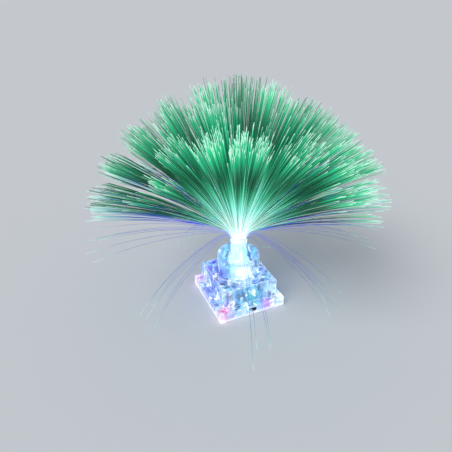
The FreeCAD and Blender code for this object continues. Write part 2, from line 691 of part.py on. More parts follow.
def spray_fibre(ring, x, y, index):
    """One fibre of the dome: the further out in the bundle, the more it leans.

    Towards the open side the fibres stand too close together to turn to their locks.
    """
    azimuth = math.atan2(y, x)
    if ring:
        azimuth += math.radians(TURN_WOBBLE / ring) * wobble(ring, index, 0.618)
    limit = math.radians(SIDE_FAN - (SIDE_FAN - FRONT_FAN) * openness(azimuth))
    share = math.hypot(x, y) / (FIBRE_RINGS * FIBRE_PITCH)
    aim = aimed(azimuth, math.acos(1 - share ** 2 * (1 - math.cos(limit))))
    lock, length = nearest_lock(aim)
    aim = aim + (lock - aim) * LOCK_PULL * (1 - openness(azimuth))
    azimuth = math.atan2(aim.y, aim.x)
    lean = math.acos(aim.z / aim.Length)
    lean += math.radians(LEAN_WOBBLE) * wobble(ring, index, 0.4142) * min(1.0, ring / 2)
    droop = math.radians(DROOP) * math.sin(abs(lean)) + math.radians(1)
    launch = max(math.radians(1), lean - droop / 2)
    length *= 1 + LENGTH_SPREAD * wobble(ring, index, 0.2718)
    radius = BUNDLE_R + NECK_BEND - math.hypot(x, y)
    return fibre(x, y, azimuth, radius, launch, launch + droop, length)


def loose_places():
    """The indices of the outermost ring's loose fibres, each with its droop."""
    around = 6 * FIBRE_RINGS
    droops = {}
    for (compass, launch, tip), count, length in zip(LOOSE_ANGLES, LOOSE_COUNTS, LOOSE_LENGTHS):
        first = round(compass / 360 * around - count / 2)
        for k in range(count):
            droops[(first + k) % around] = (launch, tip, length)
    return droops


def stray_fibre(x, y, index, droop):
    """One loose fibre of the outermost ring, which hangs towards the table."""
    launch, tip, length = droop
    launch += STRAY_WOBBLE * wobble(FIBRE_RINGS, index, 0.618)
    tip += 2 * STRAY_WOBBLE * wobble(FIBRE_RINGS, index, 0.4142)
    return fibre(x, y, math.atan2(y, x), STRAY_BEND, math.radians(launch),
                 math.radians(tip), length)


def fibre_tier(rings):
    loose = loose_places()
    return Part.makeCompound([spray_fibre(ring, x, y, index)
                              for ring in rings for x, y, index in lattice(ring)
                              if not (ring == FIBRE_RINGS and index in loose)])


def stray_fibres():
    loose = loose_places()
    return Part.makeCompound([stray_fibre(x, y, index, loose[index])
                              for x, y, index in lattice(FIBRE_RINGS) if index in loose])


# ---- Every piece, by its name

TIERS = {
    "fibre_core": range(0, 3),
    "fibre_tier_1": range(3, 5),
    "fibre_tier_2": range(5, 7),
    "fibre_tier_3": range(7, 9),
    "fibre_tier_4": range(9, FIBRE_RINGS),
    "fibre_tier_5": range(FIBRE_RINGS, FIBRE_RINGS + 1),
}


def make_parts():
    parts = {
        "bottom_cover": bottom_cover(),
        "crystal_housing": crystal_housing(),
        "light_drum": light_drum(),
        "socket_tube": socket_tube(),
        "battery_cradle": battery_cradle(),
        "battery_door": battery_door(),
        "plate_contact": plate_contact(),
        "spring_contact": spring_contact(),
        "circuit_board": circuit_board(),
        "led_red": led(0),
        "led_green": led(1),
        "led_blue": led(2),
        "led_legs": led_legs(),
        "driver_chip": driver_chip(),
        "resistors": resistors(),
        "switch_body": switch_body(),
        "switch_knob": switch_knob(),
        "switch_pins": switch_pins(),
        "housing_screws": housing_screws(),
        "board_screws": board_screws(),
        "lead_positive": lead_positive(),
        "lead_negative": lead_negative(),
        "lead_switch": lead_switch(),
        "swivel_collar": swivel_collar(),
        "ferrule": ferrule(),
        "stray_fibres": stray_fibres(),
    }
    for index in range(CELL_COUNT):
        parts[f"button_cell_{index + 1}"] = button_cell(index)
    for name, rings in TIERS.items():
        parts[name] = fibre_tier(rings)
    return parts


os.makedirs("parts", exist_ok=True)
for name, shape in make_parts().items():
    shape.exportStep(f"parts/{name}.step")
    span = shape.BoundBox
    print(f"{name:18s} {len(shape.Solids):4d} solids  volume {shape.Volume:9.2f} mm3  "
          f"valid {shape.isValid()}  z {span.ZMin:.2f} to {span.ZMax:.2f}")
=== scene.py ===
# %% [markdown]
# # A mini fibre optic lamp
# The lamp is a clear, stepped plastic base that glows from inside, with a bundle of thin
# acrylic fibres that stands in a round drum and fans out above it. The CAD model gives every
# hard piece its shape and place, so this lesson adds what CAD leaves out: the fibres as fine
# as they really are, the small details of the lights and the board, and every finish.

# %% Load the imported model
import math
import random

import bmesh
import bpy
from mathutils import Matrix, Vector


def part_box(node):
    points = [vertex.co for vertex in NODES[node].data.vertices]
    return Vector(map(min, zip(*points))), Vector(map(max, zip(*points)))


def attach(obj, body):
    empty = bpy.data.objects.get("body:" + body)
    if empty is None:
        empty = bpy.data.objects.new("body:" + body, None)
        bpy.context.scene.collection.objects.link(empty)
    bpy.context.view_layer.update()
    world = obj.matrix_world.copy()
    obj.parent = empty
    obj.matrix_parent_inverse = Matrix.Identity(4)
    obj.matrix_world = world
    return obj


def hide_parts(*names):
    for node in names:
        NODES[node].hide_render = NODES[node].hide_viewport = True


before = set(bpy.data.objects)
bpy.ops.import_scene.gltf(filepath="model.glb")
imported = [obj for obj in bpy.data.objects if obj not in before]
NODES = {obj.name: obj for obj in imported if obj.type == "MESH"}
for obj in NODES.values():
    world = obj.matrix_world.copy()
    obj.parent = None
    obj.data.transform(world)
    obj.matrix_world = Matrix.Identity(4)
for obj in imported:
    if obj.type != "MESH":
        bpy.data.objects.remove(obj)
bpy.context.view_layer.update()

# %% [markdown]
# ## Units and colours
# Blender works in metres, and the lamp's drawing is in millimetres. One factor turns one into
# the other, and patterns get their scale from a real size: a noise texture shows about one
# blob per unit, so a blob of 3 mm needs a scale of 1000 / 3. Colours are written as sRGB hex
# values, as a paint shop gives them, and shaders want linear light, so one function turns them.

# %% Units and colours
MM = 0.001


def per(size_mm):
    """The texture scale that makes one feature this many millimetres across."""
    return 1 / (size_mm * MM)


def linear(code):
    """An sRGB hex colour as the linear red, green, blue and alpha that shaders expect."""
    parts = [int(code[i:i + 2], 16) / 255 for i in (1, 3, 5)]
    return [p / 12.92 if p <= 0.04045 else ((p + 0.055) / 1.055) ** 2.4 for p in parts] + [1.0]


print("a 3 mm pattern has scale", round(per(3)))

# %% [markdown]
# ## The camera
# The view is from in front and a little to the left, looking down by about 32 degrees, with
# the lens 30 cm away. A camera that close makes the near corner of the base look large, as it
# does on a table in front of you. The camera's axes are worked out from its two angles, and
# then it is slid sideways and up so that the whole spray fits the frame.

# %% The camera
VIEW_AZIMUTH = math.radians(-24.224)
VIEW_HEIGHT = math.radians(31.787)
VIEW_DISTANCE = 300 * MM
LOOKS_AT = Vector((0, 0, 30 * MM))
SLIDE_RIGHT = -8.044 * MM
SLIDE_UP = 20.552 * MM
SENSOR_WIDTH = 36.0
LENS = 36.94
NEAREST_SEEN = 5 * MM

backward = Vector((math.sin(VIEW_AZIMUTH) * math.cos(VIEW_HEIGHT),
                   -math.cos(VIEW_AZIMUTH) * math.cos(VIEW_HEIGHT), math.sin(VIEW_HEIGHT)))
camera_data = bpy.data.cameras.new("camera")
camera_data.sensor_width = SENSOR_WIDTH
camera_data.lens = LENS
camera_data.clip_start = NEAREST_SEEN
camera = bpy.data.objects.new("camera", camera_data)
bpy.context.collection.objects.link(camera)
camera.rotation_euler = backward.to_track_quat("Z", "Y").to_euler()
right, up, _ = camera.rotation_euler.to_matrix().col
camera.location = LOOKS_AT + backward * VIEW_DISTANCE + right * SLIDE_RIGHT + up * SLIDE_UP
bpy.context.scene.camera = camera
print("camera at", [round(v / MM) for v in camera.location], "mm")

# %% [markdown]
# ## How materials are built here
# A material is a small graph of nodes. One helper adds a node: its own fields go in as
# keywords, and its sockets get plain numbers, colours, or another node's output. A colour ramp
# also gets its stops, each a place from 0 to 1 and a hex colour. A number that is the same all
# over a surface goes straight on the shader, because other programs that read the model can use
# it there.

# %% Material helpers
def put(material, kind, sockets=None, stops=(), **fields):
    """Adds one node with its fields, its sockets by name or number, and a ramp's stops."""
    made = material.node_tree.nodes.new("ShaderNode" + kind)
    for field, value in fields.items():
        setattr(made, field, value)
    for key, value in (sockets or {}).items():
        if isinstance(value, bpy.types.NodeSocket):
            material.node_tree.links.new(value, made.inputs[key])
        else:
            made.inputs[key].default_value = value
    # A new ramp has two stops already
    for _ in stops[2:]:
        made.color_ramp.elements.new(0.5)
    for k, (place, code) in enumerate(stops):
        made.color_ramp.elements[k].position = place
        made.color_ramp.elements[k].color = linear(code)
    return made


def start(name, **numbers):
    """A new material, its shader node, and the shader's plain numbers by socket name."""
    material = bpy.data.materials.new(name)
    material.use_nodes = True
    shader = material.node_tree.nodes["Principled BSDF"]
    for socket, value in numbers.items():
        shader.inputs[socket.replace("_", " ")].default_value = value
    return material, shader


def link(material, source, target):
    """Links one socket to another."""
    material.node_tree.links.new(source, target)


def layered(material, colour, layers):
    """Lays colours over a first one. Each layer is its share, its colour and how it is laid."""
    for share, over, how in layers:
        colour = put(material, "Mix", {0: share, 6: colour, 7: over}, data_type="RGBA",
                     blend_type=how).outputs[2]
    return colour


print("four helpers ready")

# %% [markdown]
# ## Floor and light
# The lamp stands on matt grey paper, which shows its shadow and no reflection, in a pale room.
# Two things light it: the world, from everywhere, and one very broad sun, as soft as a window,
# that gives gloss and a soft shadow.
# A sun is as strong far away as near by, so the floor has no bright spot. Together they light
# a level surface about as strongly as its written colour needs: the floor sends back the
# sun's strength times the cosine of its slant over pi, and the world adds its own.

# %% Floor and light
FLOOR_REACH = 8
WORLD_LEVEL = 0.6
SUN_SHARE = 0.38
SUN_SLANT = math.radians(38)
SUN_COMPASS = math.radians(-75)
SUN_BREADTH = math.radians(35)
SUN_LEVEL = SUN_SHARE * math.pi / math.cos(SUN_SLANT)

floor_mesh = bpy.data.meshes.new("floor")
shape = bmesh.new()
bmesh.ops.create_grid(shape, x_segments=1, y_segments=1, size=FLOOR_REACH)
shape.to_mesh(floor_mesh)
shape.free()
floor = bpy.data.objects.new("floor", floor_mesh)
bpy.context.collection.objects.link(floor)

paper, paper_shader = start("matt grey paper", Roughness=0.9)
paper_shader.inputs["Base Color"].default_value = linear("#cdd0d4")
floor_mesh.materials.append(paper)

world = bpy.data.worlds.new("pale room")
world.use_nodes = True
world.node_tree.nodes["Background"].inputs["Color"].default_value = linear("#eef1f5")
world.node_tree.nodes["Background"].inputs["Strength"].default_value = WORLD_LEVEL
bpy.context.scene.world = world

sun_data = bpy.data.lights.new("window light", "SUN")
sun_data.energy = SUN_LEVEL
sun_data.angle = SUN_BREADTH
sun = bpy.data.objects.new("window light", sun_data)
sun.rotation_euler = (SUN_SLANT, 0, SUN_COMPASS)
bpy.context.collection.objects.link(sun)
bpy.context.scene.view_settings.view_transform = "Standard"
print("sun strength", round(SUN_LEVEL, 2), "world strength", WORLD_LEVEL)

# %% [markdown]
# ## Clear polystyrene
# The base, the drum and the battery door are moulded in clear polystyrene, the glassy plastic of
# cheap drinking cups. It bends light strongly, with an index of refraction of 1.59, and its
# smooth moulded skin gives small sharp highlights. The coloured lights inside fill it with pools
# of light: violet on the left, pink and lilac at the two left-hand corners, purple beside the
# switch, teal in front of the battery bay, nearly white at the right-hand post and round the
# light column. Each pool is a soft ball in Object coordinates: the distance from its middle
# fades one colour into the next. Lamps inside the base could do this too, but they would grain
# the render and stay behind when the model is taken elsewhere.
#
# Light that is caught inside clear plastic comes out at its edges, so every moulded edge
# glows. The Bevel node gives the normal that the surface would have if its edges were rounded.
# Where it turns away from the true normal there is an edge, whatever the mesh's faces are.

# %% Pools of light and lit edges
def pooled(material, place, colour, pools):
    """Colour by place: soft balls of light at points in mm, laid over a colour."""
    for middle, reach, code in pools:
        off = put(material, "VectorMath", {0: place, 1: Vector(middle) * MM},
                  operation="DISTANCE")
        fade = put(material, "MapRange", {0: off.outputs["Value"], 1: reach * MM, 2: 0.0},
                   interpolation_type="SMOOTHSTEP")
        colour = layered(material, colour, [(fade.outputs[0], linear(code), "MIX")])
    return colour


def edge_turn(material, radius_mm):
    """How far rounded and true normals agree: 1 on the flats, less at the moulded edges."""
    rounded = put(material, "Bevel", {"Radius": radius_mm * MM}, samples=4)
    true = put(material, "NewGeometry")
    turn = put(material, "VectorMath", {0: rounded.outputs[0], 1: true.outputs["Normal"]},
               operation="DOT_PRODUCT")
    return turn.outputs["Value"]


print("light helpers ready")

# %% [markdown]
# The moulding is full of small faces that throw the light about, too many to model one by one. A
# Voronoi texture gives its cells, about 2 mm wide and stretched upwards like the ribs of the
# walls, with a slow noise to bend them. Some cells are darkened with painted shade, most are
# between, and some flash with a painted white glint.

# %% Facets of the moulding
# Each pool of light: its middle and reach in mm, and its colour
POOLS = [((-24, 2, 8), 20, "#6f7ee8"), ((-14, 0, 21), 13, "#4a58dc"),
         ((2, -19, 12), 12, "#12a8b4"), ((0, 0, 33), 17, "#8aeae2"), ((0, -14, 27), 10, "#f2feff"),
         ((22, 6, 16), 14, "#5f84ea"), ((-20, -20, 1), 11, "#ee96d0"),
         ((-20, 20, 4), 10, "#dda6ee"), ((11, -22, 2), 8, "#b066e6"),
         ((-15, -19, 10), 7, "#d6a2ea"), ((19, -19, 11), 13, "#d4f0f6")]
# The width of a facet, and the length and reach of the waves that bend the facets, in mm
FACET = 2.2
FACET_STRETCH = (1.0, 1.0, 0.5)
WAVER = 3
WAVER_REACH = 2.5

crystal, crystal_skin = start("clear polystyrene, moulded", IOR=1.59, Roughness=0.04,
                              Transmission_Weight=0.55, Emission_Strength=0.5)
place = put(crystal, "TexCoord").outputs["Object"]
pool = pooled(crystal, place, linear("#72b8e0"), POOLS)
ribs = put(crystal, "Mapping", {"Vector": place, "Scale": FACET_STRETCH})
waver = put(crystal, "TexNoise", {"Vector": place, "Scale": per(WAVER), "Detail": 1.0})
bent = put(crystal, "VectorMath", {0: waver.outputs["Color"], 1: (WAVER_REACH * MM,) * 3,
                                   2: ribs.outputs[0]}, operation="MULTIPLY_ADD")
facets = put(crystal, "TexVoronoi", {"Vector": bent.outputs[0], "Scale": per(FACET)})
chance = put(crystal, "SeparateColor", {0: facets.outputs["Color"]})
# Painted shade and painted white glints of the facets, by each cell's random colour
shade = put(crystal, "ValToRGB", {0: chance.outputs[0]},
            stops=[(0.0, "#16284a"), (0.18, "#44699a"), (0.45, "#a8c4dc"), (0.75, "#ffffff")])
flash = put(crystal, "ValToRGB", {0: chance.outputs[1]},
            stops=[(0.66, "#000000"), (0.8, "#56687e"), (0.95, "#ffffff")])
lit = layered(crystal, pool, [(1.0, shade.outputs[0], "MULTIPLY"),
                              (1.0, flash.outputs[0], "SCREEN")])
print(len(POOLS), "pools of light, and facets of", FACET, "mm")

# %% [markdown]
# Some places catch more light than the rest: the outer walls of the base, the frames of the
# four corner pads, and above all the rim of the bottom cover, a nearly white line. They are
# masks made from Object coordinates. The larger of X and Y, without their signs, tells how far
# out a point is on a square, and the smaller one tells where the corners are.

# %% Walls, frames and the rim
# How far out the side walls and the pads start, and how high the pads and the cover reach, in mm
SIDE_WALL = 22.2
PAD_EDGE = 14.8
PAD_TOP = 7.2
COVER_TOP = 2.4
MASK_EDGE = 0.2
FRAME_HALF = 0.3
# How much of the paler light the walls, the frames and the rim take
WALL_SHARES = (0.1, 0.8)
FRAME_SHARE = 0.5
RIM_SHARE = 0.9

off = put(crystal, "VectorMath", {0: place}, operation="ABSOLUTE")
off = put(crystal, "SeparateXYZ", {0: off.outputs[0]})
outer = put(crystal, "Math", {0: off.outputs["X"], 1: off.outputs["Y"]}, operation="MAXIMUM")
inner = put(crystal, "Math", {0: off.outputs["X"], 1: off.outputs["Y"]}, operation="MINIMUM")
side = put(crystal, "MapRange", {0: outer.outputs[0], 1: SIDE_WALL * MM,
                                 2: (SIDE_WALL + MASK_EDGE) * MM})
share = put(crystal, "MapRange", {0: chance.outputs[2], 3: WALL_SHARES[0], 4: WALL_SHARES[1]})
wall = put(crystal, "Math", {0: side.outputs[0], 1: share.outputs[0]}, operation="MULTIPLY")

corner = put(crystal, "MapRange", {0: inner.outputs[0], 1: PAD_EDGE * MM,
                                   2: (PAD_EDGE + MASK_EDGE) * MM})
level = put(crystal, "Math", {0: off.outputs["Z"], 1: PAD_TOP * MM}, operation="SUBTRACT")
level = put(crystal, "Math", {0: level.outputs[0]}, operation="ABSOLUTE")
level = put(crystal, "MapRange", {0: level.outputs[0], 1: (FRAME_HALF + MASK_EDGE / 2) * MM,
                                  2: FRAME_HALF * MM, 4: FRAME_SHARE})
frame_light = put(crystal, "Math", {0: corner.outputs[0], 1: level.outputs[0]},
                  operation="MULTIPLY")

rim = put(crystal, "MapRange", {0: off.outputs["Z"], 1: (COVER_TOP + MASK_EDGE) * MM,
                                2: COVER_TOP * MM, 4: RIM_SHARE})
rim = put(crystal, "Math", {0: rim.outputs[0], 1: side.outputs[0]}, operation="MULTIPLY")

paler = layered(crystal, pool, [(1.0, linear("#b0a4b8"), "SCREEN")])
lit = layered(crystal, lit, [(wall.outputs[0], paler, "MIX"),
                             (frame_light.outputs[0], paler, "MIX")])
print("the walls start", SIDE_WALL, "mm out, and the pads", PAD_EDGE)

# %% [markdown]
# Over all that lie small dark pockets of painted shade, where the moulding turns the light
# away: under the drum, on the violet side of the crown, at the tower's foot and in the pads. Then
# come halos: the column's shine on the front of the drum, purple beside the switch, and a white
# corner on the right. The bright rim goes over them all.

# %% Pockets of painted shade, and halos
# Each pocket of painted shade and each halo: its middle and reach in mm, and its colour
SHADE_POCKETS = [((-13.5, -8.8, 20.1), 3.4, "#1c4a8c"), ((-9.5, -13.7, 20), 3.2, "#35407c"),
           ((3.6, -15.7, 20.4), 3, "#2a56b0"), ((-13.3, -2.2, 24.2), 3.2, "#203c98"),
           ((-10.4, 14.6, 20), 5, "#4a4cc4"), ((-16.6, 10, 20), 5, "#6a66d8"),
           ((17.5, -20.9, 7.2), 1.8, "#4a6a84"), ((-18.5, -21.5, 7.2), 1.8, "#7a3a90"),
           ((-8.5, -17.8, 6.4), 2.8, "#107088"), ((13.5, -8.5, 22), 3.4, "#4a68d8"),
           ((-18.7, 18.7, 6.5), 4.5, "#8a4cc8"), ((-18.7, -18.7, 6.5), 4.5, "#d23c8c")]
HALOS = [((-3, -12, 28), 10, "#e8fcff"), ((10.5, -21.5, 6), 5, "#b266dc"),
         ((22, -22, 7), 5, "#f0fff8")]
# The pockets lay painted shade, and the halos lay painted light over it
lit = pooled(crystal, place, lit, SHADE_POCKETS + HALOS)
lit = layered(crystal, lit, [(rim.outputs[0], linear("#fff8ff"), "MIX")])
print(len(SHADE_POCKETS), "pockets and", len(HALOS), "halos")

# %% [markdown]
# The edges come last. Each is a bright line of painted light with a thin dark line of painted
# shade beside it, as in cut glass. The glow goes to the shader's emission. Its base colour is the
# same painted light, paler and without the bright lines, so that the plastic still looks clear
# under room light. The painted shade of the dark pockets is laid over it in full, or the pale
# room would shine through them.

# %% Lit edges
EDGE_ROUND = 1.3
# How far the two normals agree where the dark line of painted shade and the bright line of
# painted light start, and are full
DARK_LINE = (0.999, 0.97)
BRIGHT_LINE = (0.935, 0.88)
DARK_SHARE = 0.75
LIT_TINT_SHARE = 0.7

turn = edge_turn(crystal, EDGE_ROUND)
beside = put(crystal, "MapRange", {0: turn, 1: DARK_LINE[0], 2: DARK_LINE[1], 4: DARK_SHARE})
edge = put(crystal, "MapRange", {0: turn, 1: BRIGHT_LINE[0], 2: BRIGHT_LINE[1]})
# A thin line of painted shade beside each edge, then the edge's painted glow
lit = layered(crystal, lit, [(beside.outputs[0], linear("#34588c"), "MIX")])
glow = layered(crystal, lit, [(edge.outputs[0], linear("#f6fbff"), "MIX")])
# The base colour: the same painted light, paler, with the pockets' painted shade in full
lit_tint = layered(crystal, linear("#ffffff"), [(LIT_TINT_SHARE, lit, "MIX")])
lit_tint = pooled(crystal, place, lit_tint, SHADE_POCKETS)
link(crystal, glow, crystal_skin.inputs["Emission Color"])
link(crystal, lit_tint, crystal_skin.inputs["Base Color"])
print(crystal.name, len(crystal.node_tree.nodes), "nodes")

# %% [markdown]
# ## The light column
# The socket tube in the middle of the drum is milky polystyrene, the swivel collar on it is
# waxy acetal, and the bundle's ferrule is a clear sleeve packed with fibres. The lights shine
# straight up into them, so all three glow in their own colour. The milky tube is pale cyan with
# faint bands where its wall is stepped, and the ferrule is nearly white, in fine upright strips.

# %% The light column
def shine(material, skin, colour):
    """Uses one colour both for the surface and for the light that it sends out."""
    link(material, colour, skin.inputs["Base Color"])
    link(material, colour, skin.inputs["Emission Color"])


COLUMN_DEEP_Z = 15
COLUMN_PALE_Z = 30
BAND_STRENGTH = 0.6
column, column_skin = start("milky polystyrene, glowing", IOR=1.59, Roughness=0.3,
                            Transmission_Weight=0.25, Emission_Strength=0.45)
place = put(column, "TexCoord").outputs["Object"]
axes = put(column, "SeparateXYZ", {0: place})
height = put(column, "MapRange", {0: axes.outputs["Z"], 1: COLUMN_DEEP_Z * MM,
                                  2: COLUMN_PALE_Z * MM})
bands = put(column, "TexNoise", {"Vector": place, "Scale": per(4), "Detail": 2.0})
level = put(column, "Math", {0: bands.outputs["Fac"], 1: BAND_STRENGTH, 2: height.outputs[0]},
            operation="MULTIPLY_ADD")
glow = put(column, "ValToRGB", {0: level.outputs[0]},
           stops=[(0.3, "#4fb2d0"), (0.6, "#8ad8e8"), (0.9, "#b4ecf2")])
shine(column, column_skin, glow.outputs[0])

acetal, acetal_skin = start("natural acetal, turned", IOR=1.48, Roughness=0.35,
                            Emission_Strength=0.35)
place = put(acetal, "TexCoord").outputs["Object"]
wax = put(acetal, "TexNoise", {"Vector": place, "Scale": per(3), "Detail": 3.0})
glow = put(acetal, "ValToRGB", {0: wax.outputs["Fac"]},
           stops=[(0.35, "#a8e2ea"), (0.65, "#d8f6f4")])
shine(acetal, acetal_skin, glow.outputs[0])

STRIP_STRETCH = (1.0, 1.0, 0.15)
sleeve, sleeve_skin = start("clear vinyl sleeve", IOR=1.53, Roughness=0.12,
                            Transmission_Weight=0.5, Emission_Strength=0.35)
place = put(sleeve, "TexCoord").outputs["Object"]
around = put(sleeve, "Mapping", {"Vector": place, "Scale": STRIP_STRETCH})
strips = put(sleeve, "TexNoise", {"Vector": around.outputs[0], "Scale": per(0.8), "Detail": 2.0})
glow = put(sleeve, "ValToRGB", {0: strips.outputs["Fac"]},
           stops=[(0.4, "#b4ecec"), (0.6, "#eefdfb")])
shine(sleeve, sleeve_skin, glow.outputs[0])
print(column.name, "/", acetal.name, "/", sleeve.name)

# %% [markdown]
# ## Acrylic fibres
# The fibres are drawn from clear acrylic. Light leaks out where they bend at the neck, and at
# the cut tips, so each one is nearly white at the neck, green on its way up, dark in the middle
# of its run, and bright again towards its tip. Every strand's UV map carries that: U runs along
# the strand from its foot to its tip, and V picks one of 64 rows, which are ways to glow. The
# first 56 rows are four kinds of neck, from soon dark to bright a long way up, times fourteen
# kinds of tip, from dull to vivid. The last eight carry the blue light. A random shift per row
# moves the place where the tip lights up. A material for each way to glow could do it too, but
# one material serves them all.

# %% Acrylic fibres
NECK_KINDS = 4
TIP_KINDS = 14
BLUE_ROWS = 8
ROWS = NECK_KINDS * TIP_KINDS + BLUE_ROWS
TIP_SHIFT = 0.05

fibre, fibre_skin = start("drawn clear acrylic fibre", IOR=1.49, Roughness=0.2,
                          Emission_Strength=0.95)
along = put(fibre, "SeparateXYZ", {0: put(fibre, "UVMap", uv_map="OFBake").outputs[0]})
row = put(fibre, "Math", {0: along.outputs["Y"], 1: float(ROWS)}, operation="MULTIPLY")
row = put(fibre, "Math", {0: row.outputs[0]}, operation="FLOOR")
neck_kind = put(fibre, "Math", {0: row.outputs[0], 1: float(TIP_KINDS)}, operation="DIVIDE")
neck_kind = put(fibre, "Math", {0: neck_kind.outputs[0]}, operation="FLOOR")
neck_kind = put(fibre, "Math", {0: neck_kind.outputs[0], 1: NECK_KINDS - 1.0},
                operation="DIVIDE")
tip_kind = put(fibre, "Math", {0: row.outputs[0], 1: float(TIP_KINDS)}, operation="MODULO")
tip_kind = put(fibre, "Math", {0: tip_kind.outputs[0], 1: TIP_KINDS - 1.0},
               operation="DIVIDE")
chance = put(fibre, "TexWhiteNoise", {"W": row.outputs[0]}, noise_dimensions="1D")
shift = put(fibre, "Math", {0: chance.outputs["Value"], 1: TIP_SHIFT, 2: along.outputs["X"]},
            operation="MULTIPLY_ADD")
run = put(fibre, "Math", {0: shift.outputs[0], 1: TIP_SHIFT / 2}, operation="SUBTRACT")
print("rows of the UV map:", ROWS)

# %% [markdown]
# The colour of each place on a fibre comes from ramps along its run: two for the neck, two for
# the tip and one for the blue light. A kind of neck or tip is a mix of its two ramps. The tip's
# light is laid over the neck's with Screen, which adds light and never goes past white. Clear
# acrylic has little colour of its own, so under room light a fibre shows only a fifth of its
# glow's colour, and a fine gloss.

# %% Fibre colours along the run
UNLIT_SHARE = 0.8
soon_dark = put(fibre, "ValToRGB", {0: along.outputs["X"]},
                stops=[(0.23, "#effffe"), (0.29, "#94f0e4"), (0.36, "#2fa080"),
                       (0.46, "#11553c"), (0.6, "#082a1e")])
long_bright = put(fibre, "ValToRGB", {0: along.outputs["X"]},
                  stops=[(0.28, "#ffffff"), (0.39, "#d8fffc"), (0.5, "#8cf2de"),
                         (0.62, "#36b080"), (0.72, "#166a48"), (0.8, "#0f5036")])
dull_tip = put(fibre, "ValToRGB", {0: run.outputs[0]},
               stops=[(0.9, "#000000"), (0.96, "#0a3a26"), (0.99, "#146a48")])
vivid_tip = put(fibre, "ValToRGB", {0: run.outputs[0]},
                stops=[(0.76, "#000000"), (0.84, "#14704a"), (0.9, "#22b078"),
                       (0.96, "#3cd698"), (0.985, "#c8ffe8")])
blue = put(fibre, "ValToRGB", {0: run.outputs[0]},
           stops=[(0.2, "#f0f8ff"), (0.27, "#8fa8ff"), (0.36, "#3c50f4"), (0.55, "#2c3ad2"),
                  (0.8, "#3a68a8"), (0.94, "#7cc0c0"), (0.98, "#bdeee4")])
is_blue = put(fibre, "Math", {0: row.outputs[0], 1: ROWS - BLUE_ROWS - 0.5},
              operation="GREATER_THAN")
tip = layered(fibre, dull_tip.outputs[0], [(tip_kind.outputs[0], vivid_tip.outputs[0], "MIX")])
strand_light = layered(fibre, soon_dark.outputs[0],
                       [(neck_kind.outputs[0], long_bright.outputs[0], "MIX"),
                        (1.0, tip, "SCREEN"), (is_blue.outputs[0], blue.outputs[0], "MIX")])
unlit = layered(fibre, strand_light, [(UNLIT_SHARE, linear("#000000"), "MIX")])
link(fibre, strand_light, fibre_skin.inputs["Emission Color"])
link(fibre, unlit, fibre_skin.inputs["Base Color"])
print(fibre.name, len(fibre.node_tree.nodes), "nodes")

# %% [markdown]
# ## The path of one fibre
# A fibre is straight in the ferrule, bends outwards round the ferrule's mouth, and then droops
# a little under its own weight. Each part is an arc in one upright plane, so the path follows
# from a few angles. The drawing uses the same arcs for its thicker rods, and the fine strands
# keep to them, so they stay where the solids are.

# %% The path of one fibre
FOOT_Z = 21.9
NECK_Z = 44.0
BEND_STEPS = 4
DROOP_STEPS = 8
STRAND_RINGS = BEND_STEPS + DROOP_STEPS + 2


def path_of(x, y, azimuth, bend, launch, tip, length):
    """The plane of one fibre, and its points: place in mm, slant, and length run so far."""
    out = Vector((math.cos(azimuth), math.sin(azimuth), 0))
    droop = (length - bend * launch) / (tip - launch)
    points = [(Vector((x, y, FOOT_Z)), 0.0, 0.0)]
    for step in range(BEND_STEPS + 1):
        angle = launch * step / BEND_STEPS
        rise = NECK_Z + bend * math.sin(angle)
        place = Vector((x, y, rise)) + out * bend * (1 - math.cos(angle))
        points.append((place, angle, NECK_Z - FOOT_Z + bend * angle))
    corner, _, run = points[-1]
    for step in range(1, DROOP_STEPS + 1):
        angle = launch + (tip - launch) * step / DROOP_STEPS
        across = droop * (math.cos(launch) - math.cos(angle))
        rise = Vector((0, 0, droop * (math.sin(angle) - math.sin(launch))))
        points.append((corner + out * across + rise, angle, run + droop * (angle - launch)))
    return out, points


print("each path has", STRAND_RINGS, "points")

# %% [markdown]
# ## One strand, bent again and again
# A strand is a four-sided rod: a circle of four corners, pulled up ring by ring, with both
# ends closed. It is made once. For each fibre its corners move onto the path, and the result
# is poured into one growing mesh. Four sides are enough for something thinner than a pixel,
# and nearly three thousand strands then stay light.

# %% One strand
def straight_strand():
    """A closed four-sided rod of radius 1, with one ring of corners at each whole height."""
    rod = bmesh.new()
    bmesh.ops.create_circle(rod, cap_ends=True, segments=4, radius=1)
    rim = rod.edges[:]
    for ring in range(1, STRAND_RINGS):
        grown = bmesh.ops.extrude_edge_only(rod, edges=rim)["geom"]
        corners = [part for part in grown if isinstance(part, bmesh.types.BMVert)]
        rim = [part for part in grown if isinstance(part, bmesh.types.BMEdge)
               and all(corner in corners for corner in part.verts)]
        bmesh.ops.translate(rod, vec=(0, 0, 1), verts=corners)
    bmesh.ops.contextual_create(rod, geom=rim)
    bmesh.ops.recalc_face_normals(rod, faces=rod.faces)
    mesh = bpy.data.meshes.new("strand")
    rod.to_mesh(mesh)
    rod.free()
    mesh.uv_layers.new(name="OFBake")
    mesh.shade_smooth()
    return mesh


strand = straight_strand()
CORNERS = [(v.co.x, v.co.y, round(v.co.z)) for v in strand.vertices]
LOOPS = [CORNERS[loop.vertex_index] for loop in strand.loops]
print("one strand has", len(strand.polygons), "faces")

# %% [markdown]
# Each ring of corners is laid square to the path at its point. A strand grows a little thicker
# past the neck, up to its tip, because a cut end swells and its glow spreads. In the UV map its
# corners lie a little apart within their row, so that none of its faces is empty there. All the
# corners are set in one call of foreach_set, which is far quicker than one by one.

# %% Bend a strand and pour it
FREE_LENGTH = 95.0
FOOT_R = 0.07
TIP_R = 0.16
OFF_ROW_X = 0.3
OFF_ROW_Y = 0.1


